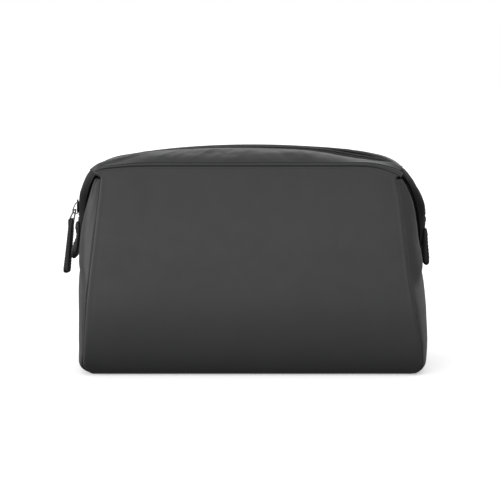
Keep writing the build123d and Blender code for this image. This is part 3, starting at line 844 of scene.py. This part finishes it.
# ---------------------------------------------------------------- build the shell
for side in ("front", "back"):
    skin = wall_skin(f"{side}_wall", side)
    open_with(skin)
    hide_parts(f"{side}_panel")

    # Where each band starts and stops along the belt, the slant of its ends, its cloth and how low it lies.
    pieces = (
        ("top", -127.0, 117.5, (-6.0, 4.0), band_cloth, 0.0),
        # The shoulder pieces take the dark weave, whose colour is partly painted shade.
        ("left", -REACH_L, -121.0, (0.0, -6.0), shoulder_cloth_painted_shade, 0.9),
        ("right", 111.0, REACH_R, (5.0, 0.0), shoulder_cloth_painted_shade, 0.9),
    )
    for place, start, stop, slant, material, lower in pieces:
        strip = band(f"{side}_band_{place}", side, start, stop, slant, material, lower)
        open_with(strip)
        node = f"top_band_{side}" if place == "top" else f"shoulder_band_{place}_{side}"
        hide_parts(node)

    cloth = tape(f"{side}_tape", side)
    open_with(cloth)
    nodes = [f"zip_tape_{side}"] + [f"zip_tape_{end}_{side}" for end in ("left", "right")]
    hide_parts(*nodes)

    spiral = coil(f"{side}_coil", side)
    open_with(spiral)
    nodes = [f"zip_coil_{side}"] + [f"zip_coil_{end}_{side}" for end in ("left", "right")]
    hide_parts(*nodes)

    for end in ("left", "right"):
        half = gusset(f"{end}_gusset_{side}", end, side)
        open_with(half)
        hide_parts(f"gusset_{end}")

    # Flat strip sewn over the wall's top seam, and its row of stitches.
    s = np.arange(-126, 120.1, 1.5)
    upper = edge_at(s, side)
    ends = (-123.6, 116.6) if side == "front" else (-115.4, 115.4)
    xs = np.clip(upper[:, 0] * 0.995, *ends)
    lower, outward = wall_line(xs, 0.1, 0.0, side)
    t = np.array([0.0, 0.04, 0.14, 0.32, 0.5, 0.68, 0.86, 0.96, 1.0])
    lift = np.array([-0.35, -0.05, 0.08, 0.22, 0.3, 0.22, 0.0, -0.9, -2.4])
    upper = upper - unit(upper - lower) * 1.4
    flat = lower[:, None] + (upper - lower)[:, None] * t[None, :, None]
    flat = flat + outward[:, None] * lift[None, :, None]
    cover = grid(f"{side}_seam_cover", flipped(flat, y=side == "back"), band_cloth, flip=side == "back")
    thicken(cover, 0.7)
    open_with(cover)
    xs = np.linspace(-112, 108, 400)
    line, outward = wall_line(xs, 2.4, 0.0, side)
    sewn = gather(f"{side}_seam_stitches", stitches(line, outward, 3.2, 2.3, 0.16, 0.10), stitch_thread)
    if side == "back":
        sewn.data.transform(Matrix.Scale(-1, 4, (0, 1, 0)))
        sewn.data.flip_normals()
    open_with(sewn)

# ---------------------------------------------------------------- base
def base_grid():
    """The base panel, a plate with bowed ends whose rim turns up behind the walls."""
    rows = []
    for share in clustered(2.0, 0.01, 0.08, 1.4) - 1:
        y = share * 54.0
        reach = 125.5 + (134.2 - 125.5) * math.sqrt(max(0.0, 1 - share**2))
        across = clustered(2.0, 0.004, 0.06, 1.4) - 1
        x = across * reach
        rim = np.maximum(np.abs(across), abs(share))
        rise = 2.6 * np.clip((rim - 0.975) / 0.025, 0, 1) ** 2
        dip = 0.12 * np.sin(x / 19.0) * np.cos(y / 15.0)
        rows.append(xyz(x, y, 0.15 + rise + np.maximum(dip, 0)))
    return np.stack(rows)


base = grid("base_cloth", base_grid(), shell_cloth, flip=True)
thicken(base, 1.2)
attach(base, "bag_body")
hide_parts("base_panel")
frame["nodes"]["base_board"].data.materials.clear()
frame["nodes"]["base_board"].data.materials.append(board_plastic)

# ---------------------------------------------------------------- end tabs
TAB_HALF = 11.0


def tab_loop(centre, half):
    """Section of a folded tab in X and Z: down the outside, round the loop and up the inside."""
    centre = spline(centre, count=16)
    half = np.interp(np.linspace(0, 1, 16), np.linspace(0, 1, len(half)), half)
    aside = xyz(half, 0.0)
    angles = np.linspace(0, -math.pi, 9)[1:-1]
    round_end = centre[-1] + xyz(half[-1] * np.cos(angles), 2.6 * np.sin(angles))
    return np.concatenate([centre + aside, round_end, (centre - aside)[::-1]])


def rounded_sides(across, half, radius, least):
    """Share of its thickness that a strip keeps at each place across: less within radius of its sides."""
    rim = np.clip((half - np.abs(across)) / radius, 0, 1)
    return least + (1 - least) * np.sqrt(np.maximum(0.0, 1 - (1 - rim) ** 2))


def tab(name, end, centre, half):
    """A folded tab with stitched edges."""
    section = tab_loop(centre, half)
    across = clustered(2 * TAB_HALF, 0.4, 2.0, 1.4) - TAB_HALF
    shrink = rounded_sides(across, TAB_HALF, 0.9, 0.62)[:, None, None]
    centre = (section + section[::-1]) / 2
    pts = centre + (section - centre) * shrink
    p = xyz(pts[..., 0], across[:, None], pts[..., 1])
    mirror_x = end == "left"
    o = grid(name, flipped(p, x=mirror_x), tab_cloth, flip=not mirror_x, loop=True, ends=True)
    parts = []
    run = section[2:15]
    for y in (-TAB_HALF + 2.0, TAB_HALF - 2.0):
        line = np.insert(run, 1, y, axis=1)
        outward = np.broadcast_to((1.0, 0.0, 0.0), line.shape)
        parts += stitches(line, outward, 3.0, 2.1, 0.22, 0.15)
    parts = [(flipped(v, x=mirror_x), f[::-1]) for v, f in parts]
    return o, gather(f"{name}_stitches", parts, strap_thread)


# Middle line of each tab in X and Z, and half its thickness at even steps down it.
RIGHT_TAB = ([(138.3, 110.2), (138.1, 104), (138.2, 96), (138.7, 88), (139.1, 83.6)],
             [0.9, 1.7, 1.9, 2.0, 2.2, 2.3, 2.5, 2.6, 2.6, 2.4])
LEFT_TAB = ([(139.3, 115.4), (139.2, 110.5), (138.8, 104.5), (140.1, 99.5), (141.6, 94), (142.4, 88.9)],
            [1.2, 1.9, 1.9, 1.7, 1.5, 1.6, 1.9, 2.2, 2.4, 2.5, 2.5, 2.3])
right_tab, right_sewn = tab("right_tab_cloth", "right", *RIGHT_TAB)
left_tab, left_sewn = tab("left_tab_cloth", "left", *LEFT_TAB)
for o in (right_tab, right_sewn):
    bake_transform(o)
for o in (left_tab, left_sewn):
    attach(o, "bag_body")
for o, end in ((right_tab, "right"), (left_tab, "left")):
    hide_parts(f"end_tab_{end}")

# ---------------------------------------------------------------- zip stops
for end in ("left", "right"):
    low, high = extent(f"zip_stop_{end}")
    sign = -1 if end == "left" else 1
    half = belt[:300] if end == "left" else belt[:-301:-1]
    coil_x = np.interp((low[2] + high[2]) / 2, half[:, 1], np.abs(half[:, 0]))
    across = np.linspace(-3.7, 3.7, 15)
    arch = sign * (coil_x - 1.4 + 0.8 * np.sqrt(np.maximum(0, 1 - (across / 3.75) ** 6)))
    parts = []
    for z in np.linspace(low[2] + 0.5, high[2] - 0.5, 3):
        line = xyz(arch, across, z)
        parts.append(tube(line, 0.62, 8, (0, 0, 1.0)))
    stop = gather(f"{end}_stop", parts, slider_metal)
    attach(stop, "bag_body")
    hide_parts(f"zip_stop_{end}")


# ---------------------------------------------------------------- slider
def outline_plate(half_long, head, waist, tail):
    """Outline of a slider plate in (along, across): a wide head narrowing to its tail."""
    right = spline([(half_long, 0.001), (half_long * 0.93, head * 0.72), (half_long * 0.55, head),
                    (-half_long * 0.15, waist), (-half_long * 0.7, tail), (-half_long, tail * 0.55),
                    (-half_long * 1.02, 0.001)], count=26)
    left = right[::-1] * (1, -1)
    return np.concatenate([right, left[1:-1]])


def plate(outline, low, high, rim, dome):
    """Rounded plate between two heights over an outline, as rings."""
    steps = [(low, 0.55), (low, 0.95), (low + rim, 1.0), (high - rim, 1.0), (high, 0.94),
             (high + dome * 0.6, 0.6), (high + dome, 0.2)]
    return np.stack([np.insert(outline * k, 2, h, axis=1) for h, k in steps])


# Where the slider's two plates lie, as distances from the left shoulder's centre.
UNDER, OVER = (38.0, 39.0), (42.15, 42.9)
low, high = extent("slider_body")
slider_mid = (low[2] + high[2]) / 2


def slider_space(p):
    """From (along the zip, across, distance from the shoulder's centre) to the shared frame."""
    p = np.asarray(p, float)
    return xyz(-SHOULDER_X - p[..., 2], p[..., 1], slider_mid + p[..., 0])


shape = outline_plate(5.4, 4.45, 4.3, 3.9)
parts = []
for (bottom, top), dome in ((UNDER, 0.0), (OVER, 0.1)):
    rings = slider_space(plate(shape, bottom, top, 0.25, dome))
    parts.append((rings.reshape(-1, 3), lattice(*rings.shape[:2], flip=True, loop=True, ends=True)))
# Side flanges that guide the coils, and the wedge between the plates.
for sign in (-1, 1):
    s = np.linspace(-3.2, 3.4, 12)
    y = sign * (3.75 + 0.25 * np.cos(s / 3.4))
    line = slider_space(xyz(s, y, 42.1))
    parts.append(tube(line, 0.42, 8, (0.0, 1.0, 0.02)))
h = np.linspace(UNDER[1] - 0.2, OVER[0] + 0.2, 6)
wedge = slider_space(xyz(-4.0, 0.0, h))
parts.append(tube(wedge, 0.85, 8, (0.0, 1.0, 0.0)))
slider = gather("slider_plates", parts, slider_metal)
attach(slider, "zip_slider")
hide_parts("slider_body")

# Crown: an arched strap over the top plate that holds the wire.
low, high = extent("slider_crown")
crown_high = -low[0] - SHOULDER_X
crown_mid = (low[2] + high[2]) / 2 - slider_mid
arch = spline([(4.1, OVER[1] - 0.3), (3.8, OVER[1] + 0.7), (1.9, OVER[1] + 2.0), (-1.2, crown_high - 0.45),
               (-3.6, crown_high - 0.42), (-4.7, OVER[1] + 1.6), (-4.6, OVER[1] - 0.3)], count=40)
arch[:, 0] += crown_mid
d = np.gradient(arch, axis=0)
n = unit(xyz(-d[:, 1], d[:, 0]))
# Its section in (across, share of half its thickness), round from the under face to the outer one.
CROWN_HALF = 0.42
section = [(-1.3, -0.6), (-1.1, -0.95), (0.0, -1.08), (1.1, -0.95), (1.3, -0.6),
           (1.3, 0.6), (1.1, 0.95), (0.0, 1.0), (-1.1, 0.95), (-1.3, 0.6)]
rows = [slider_space(np.insert(arch + n * CROWN_HALF * k, 1, y, axis=1)) for y, k in section]
ring = np.stack(rows, axis=1)
crown_piece = grid("slider_arch", ring, slider_metal, loop=True, ends=True)
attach(crown_piece, "zip_slider")
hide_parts("slider_crown")

# ---------------------------------------------------------------- wire bail and pull strap
joints = {j["name"]: j for j in frame["joints"]}
bail_x, _, bail_z = np.array(joints["bail_swing"]["pos_m"]) / MM
hang_x, _, hang_z = np.array(joints["strap_swing"]["pos_m"]) / MM
lean = math.atan2(bail_x - hang_x, bail_z - hang_z)
long = math.hypot(bail_x - hang_x, bail_z - hang_z)
BAIL_HALF, TOP_BEND, LOW_BEND = 5.0, 1.6, 1.2
# The wire's loop in (across, down): a bend of its own radius at each corner.
loop_2d = []
for across, down, bend, start in ((BAIL_HALF - TOP_BEND, TOP_BEND, TOP_BEND, -90),
                                  (BAIL_HALF - LOW_BEND, long - LOW_BEND, LOW_BEND, 0),
                                  (LOW_BEND - BAIL_HALF, long - LOW_BEND, LOW_BEND, 90),
                                  (TOP_BEND - BAIL_HALF, TOP_BEND, TOP_BEND, 180)):
    for a in np.radians(np.linspace(start, start + 90, 7)):
        loop_2d.append((across + bend * math.cos(a), down + bend * math.sin(a)))
closed_line = np.array(loop_2d + loop_2d[:1])
length = spaced(closed_line)
at = np.linspace(0, length[-1], 73)[:-1]
across, down = (np.interp(at, length, closed_line[:, i]) for i in (0, 1))
twist = np.radians(5 + 11 * ease(down / long))
aside = across * np.sin(twist)
line = xyz(bail_x - down * math.sin(lean) + aside * math.cos(lean), across * np.cos(twist),
           bail_z - down * math.cos(lean) - aside * math.sin(lean))
v, f = tube(line, 0.6, 8, (math.cos(lean), 0.0, -math.sin(lean)), closed=True)
bail = mesh_object("pull_wire", v, f, wire_metal)
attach(bail, "bail")
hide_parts("pull_bail")

strap_lean = math.radians(6.0)
STRAP_HALF = 4.1
# Half the folded strap's thickness, against the way down from the wire: two plies closed by stitches.
STRAP_DOWN = [-2.2, -1.6, 0.0, 2.4, 5.0, 9.0, 15.0, 22.0, 30.0, 36.0, 39.5, 41.2, 41.9]
STRAP_THICK = [0.9, 1.75, 2.15, 1.95, 1.7, 1.65, 1.7, 1.8, 1.95, 2.15, 2.25, 1.9, 1.0]


def strap_space(p):
    """From (outward, across, down) about the wire to the shared frame, the strap a little twisted."""
    p = np.asarray(p, float)
    turn = np.radians(3 + 6 * ease(p[..., 2] / 12))
    out = p[..., 0] * np.cos(turn) - p[..., 1] * np.sin(turn) - 0.35 * ease(p[..., 2] / 8)
    y = p[..., 1] * np.cos(turn) + p[..., 0] * np.sin(turn)
    x = hang_x - out * math.cos(strap_lean) - p[..., 2] * math.sin(strap_lean)
    z = hang_z + out * math.sin(strap_lean) - p[..., 2] * math.cos(strap_lean)
    return xyz(x, y, z)


outer = spline(np.column_stack([STRAP_THICK, STRAP_DOWN]), count=46)
section = np.concatenate([outer, outer[::-1] * (-1, 1)])
across = clustered(2 * STRAP_HALF, 0.25, 1.0, 1.4) - STRAP_HALF
shrink = rounded_sides(across, STRAP_HALF, 0.7, 0.55)[:, None]
p = xyz(section[:, 0] * shrink, across[:, None], section[:, 1])
strap = grid("pull_strap_cloth", strap_space(p), strap_hide, flip=True, loop=True, ends=True)
parts = []
down = np.linspace(5.0, 39.0, 60)
half = np.interp(down, STRAP_DOWN, STRAP_THICK)
for sign in (1, -1):
    n = strap_space([sign, 0, 20]) - strap_space([0, 0, 20])
    for y in (-STRAP_HALF + 1.1, STRAP_HALF - 1.1):
        line = strap_space(xyz(sign * (half - 0.02), y, down))
        parts += stitches(line, np.broadcast_to(n, line.shape), 2.4, 1.7, 0.18, 0.12)
strap_sewn = gather("pull_strap_stitches", parts, strap_thread)
for o in (strap, strap_sewn):
    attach(o, "strap")
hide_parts("pull_strap")

# ---------------------------------------------------------------- inside
for side in ("front", "back"):
    back = side == "back"
    x, y, z, ny, nz, out, from_side, _ = wall_grid(side, 2.2, 2.6, 6.0, 5.0, fine=1.5)
    p = xyz(x, y + ny * out, z + nz * out)
    p[..., 1] += 0.35 * wander(p, 26.0, 61.0) * np.clip(from_side / 10, 0, 1)
    inner = grid(f"{side}_lining", flipped(p, y=back), lining_weave, flip=not back)
    thicken(inner, 0.35, 1.0)
    open_with(inner)
    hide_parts(f"lining_{side}")

    # Binding tape over the raw seams: both side seams and the top seam.
    top_line, _ = wall_line(np.linspace(-104, 104, 160), 8.0, -3.0, side)
    parts = [tube(top_line, 1.9, 10, (0, 1.0, 0.3), flat=0.42)]
    names = [f"seam_binding_top_{side}"]
    side_z = np.linspace(8, 148, 110)
    for sign, end in ((-1, "left"), (1, "right")):
        line = xyz(sign * (half_width(side_z, end, side) - 4.6), wall_y(side_z) + 3.4, side_z)
        parts.append(tube(line, 1.7, 10, (0, 1.0, 0.2), flat=0.5))
        names.append(f"seam_binding_{side}_{end}")
    if back:
        parts = [(flipped(v, y=True), [f[::-1] for f in faces]) for v, faces in parts]
    tape_piece = gather(f"{side}_bindings", parts, binding_weave)
    open_with(tape_piece)
    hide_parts(*names)

for end in ("left", "right"):
    for side in ("front", "back"):
        p = gusset_grid(end, side, inset=2.3, low=5.0, high=96.0, fine=2.5)[:, 3:]
        mirror_x, mirror_y = end == "left", side == "back"
        p = flipped(p, mirror_x, mirror_y)
        inner = grid(f"{end}_lining_{side}", p, lining_weave, flip=mirror_x == mirror_y)
        thicken(inner, 0.35, 1.0)
        open_with(inner)
        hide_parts(f"lining_{end}")

low, high = extent("lining_base")
xs, ys = np.linspace(low[0], high[0], 70), np.linspace(low[1], high[1], 34)
p = xyz(xs, ys[:, None], high[2] - 0.1)
p[..., 2] += 0.35 * np.maximum(0, wander(p, 22.0, 71.0))
floor_lining = thicken(grid("base_lining", p, lining_weave), 0.4, -1.0)
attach(floor_lining, "bag_body")
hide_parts("lining_base")

# Slip pocket on the front lining, with a hemmed top.
pocket = wall_patch(-80, 80, 20, 95, 3.1, 90, 50)
depth = np.sin(np.linspace(0, math.pi, 90)) ** 0.5
rise = np.linspace(0, 1, 50) ** 1.5
pocket[..., 1] += rise[:, None] * depth + 0.25 * wander(pocket, 20.0, 81.0)
slip = thicken(grid("slip_pocket_cloth", pocket, lining_weave, flip=True), 0.4, 1.0)
hem = tube(pocket[-1] + (0, 0.3, 0), 1.5, 10, (0, 1.0, 0.2), flat=0.4)
slip_hem = gather("slip_pocket_hem", [hem], binding_weave)
for o in (slip, slip_hem):
    open_with(o)
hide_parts("slip_pocket")

# Mesh pocket on the back lining, gathered by its elastic edge.
pocket = wall_patch(-95, 95, 20, 100, 3.1, 120, 50)
gathers = 0.5 + 0.5 * np.sin(np.linspace(0, 30 * math.pi, 120))
rise = np.linspace(0, 1, 50) ** 2
pocket[..., 1] += rise[:, None] * (0.6 + 0.8 * gathers)
net = thicken(grid("mesh_pocket_cloth", flipped(pocket, y=True), elastic_weave), 0.35, 1.0)
edge = wall_patch(-95, 95, 99.5, 106, 3.4, 160, 10)
ribs = np.sin(np.linspace(0, 60 * math.pi, 160))
edge[..., 1] += 0.5 + 0.35 * ribs
cuff = thicken(grid("mesh_pocket_edge", flipped(edge, y=True), elastic_weave), 0.9, 1.0)
for o in (net, cuff):
    open_with(o)
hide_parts("mesh_pocket")
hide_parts("mesh_pocket_elastic")

# Blank care label on the back lining, curling a little at its free end.
label = wall_patch(66, 88, 116, 146, 3.0, 16, 24)
label[..., 1] += 0.5 * np.linspace(1, 0, 24)[:, None] ** 2 * np.sin(np.linspace(0, math.pi, 16))
tag = thicken(grid("care_label_blank", flipped(label, y=True), label_weave), 0.2, 1.0)
open_with(tag)
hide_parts("care_label")

# ---------------------------------------------------------------- stage, light, camera
m = Nodes(bpy.data.materials.new("stage_floor"))
floor_material = m.finish(m.mix(m.noise(m.place(), 3.0), grey(0.93), grey(0.95)), 0.7, Emission_Color=grey(1.0),
                          Emission_Strength=0.42, Specular_IOR_Level=0.0)
bpy.ops.mesh.primitive_plane_add(size=60.0, location=(0, 0, 0))
stage = bpy.context.object
stage.name = "stage_floor"
stage.data.materials.append(floor_material)
stage.visible_diffuse = stage.visible_glossy = False
stage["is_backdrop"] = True

# White all round to look at; as light, bright from above and dim from below the horizon.
world = bpy.data.worlds.new("studio")
bpy.context.scene.world = world
w = Nodes(world)
up = w.node("ShaderNodeSeparateXYZ", {0: w.node("ShaderNodeTexCoord").outputs["Generated"]}).outputs["Z"]
strength = w.node(
    "ShaderNodeMapRange", {0: up, 1: -0.30, 2: 0.11, 3: 0.14, 4: 0.60}, interpolation_type="SMOOTHSTEP"
)
lit = w.feed(w.tree.nodes["Background"], {0: grey(1.0), 1: strength.outputs[0]})
seen = w.node("ShaderNodeBackground", {0: grey(1.0)})
looked_at = w.node("ShaderNodeLightPath").outputs["Is Camera Ray"]
either = w.node("ShaderNodeMixShader", {0: looked_at, 1: lit.outputs[0], 2: seen.outputs[0]})
w.feed(w.tree.nodes["World Output"], {0: either.outputs[0]})


def aim(o, location, direction):
    """Puts a light or camera somewhere and turns it to look along a direction."""
    o.location = location
    o.rotation_mode = "QUATERNION"
    o.rotation_quaternion = direction.to_track_quat("-Z", "Y")


def sun(name, azimuth, elevation, wide, strength):
    """Broad even light; azimuth 0 comes from the front and 90 from the right."""
    light = bpy.data.lights.new(name, "SUN")
    light.energy, light.angle = strength, math.radians(wide)
    a, e = math.radians(azimuth), math.radians(elevation)
    source = Vector((math.sin(a) * math.cos(e), -math.cos(a) * math.cos(e), math.sin(e)))
    aim(add(name, light), source * 2, -source)


sun("front_light", -18, 24, 50, 0.85)
sun("left_light", -80, 18, 26, 1.0)
sun("back_light", 165, 40, 60, 0.5)

camera = bpy.data.cameras.new("camera")
camera.lens, camera.sensor_width = 129.8, 36.0
camera.clip_start, camera.clip_end = 0.01, 50.0
DISTANCE, ELEVATION = 1.45, math.radians(5.5)
TARGET = Vector((-0.0018, 0.0, 0.0921))
away = Vector((0, -math.cos(ELEVATION), math.sin(ELEVATION))) * DISTANCE
bpy.context.scene.camera = add("camera", camera)
aim(bpy.context.scene.camera, TARGET + away, -away)
bpy.context.scene.view_settings.view_transform = "Standard"

low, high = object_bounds()
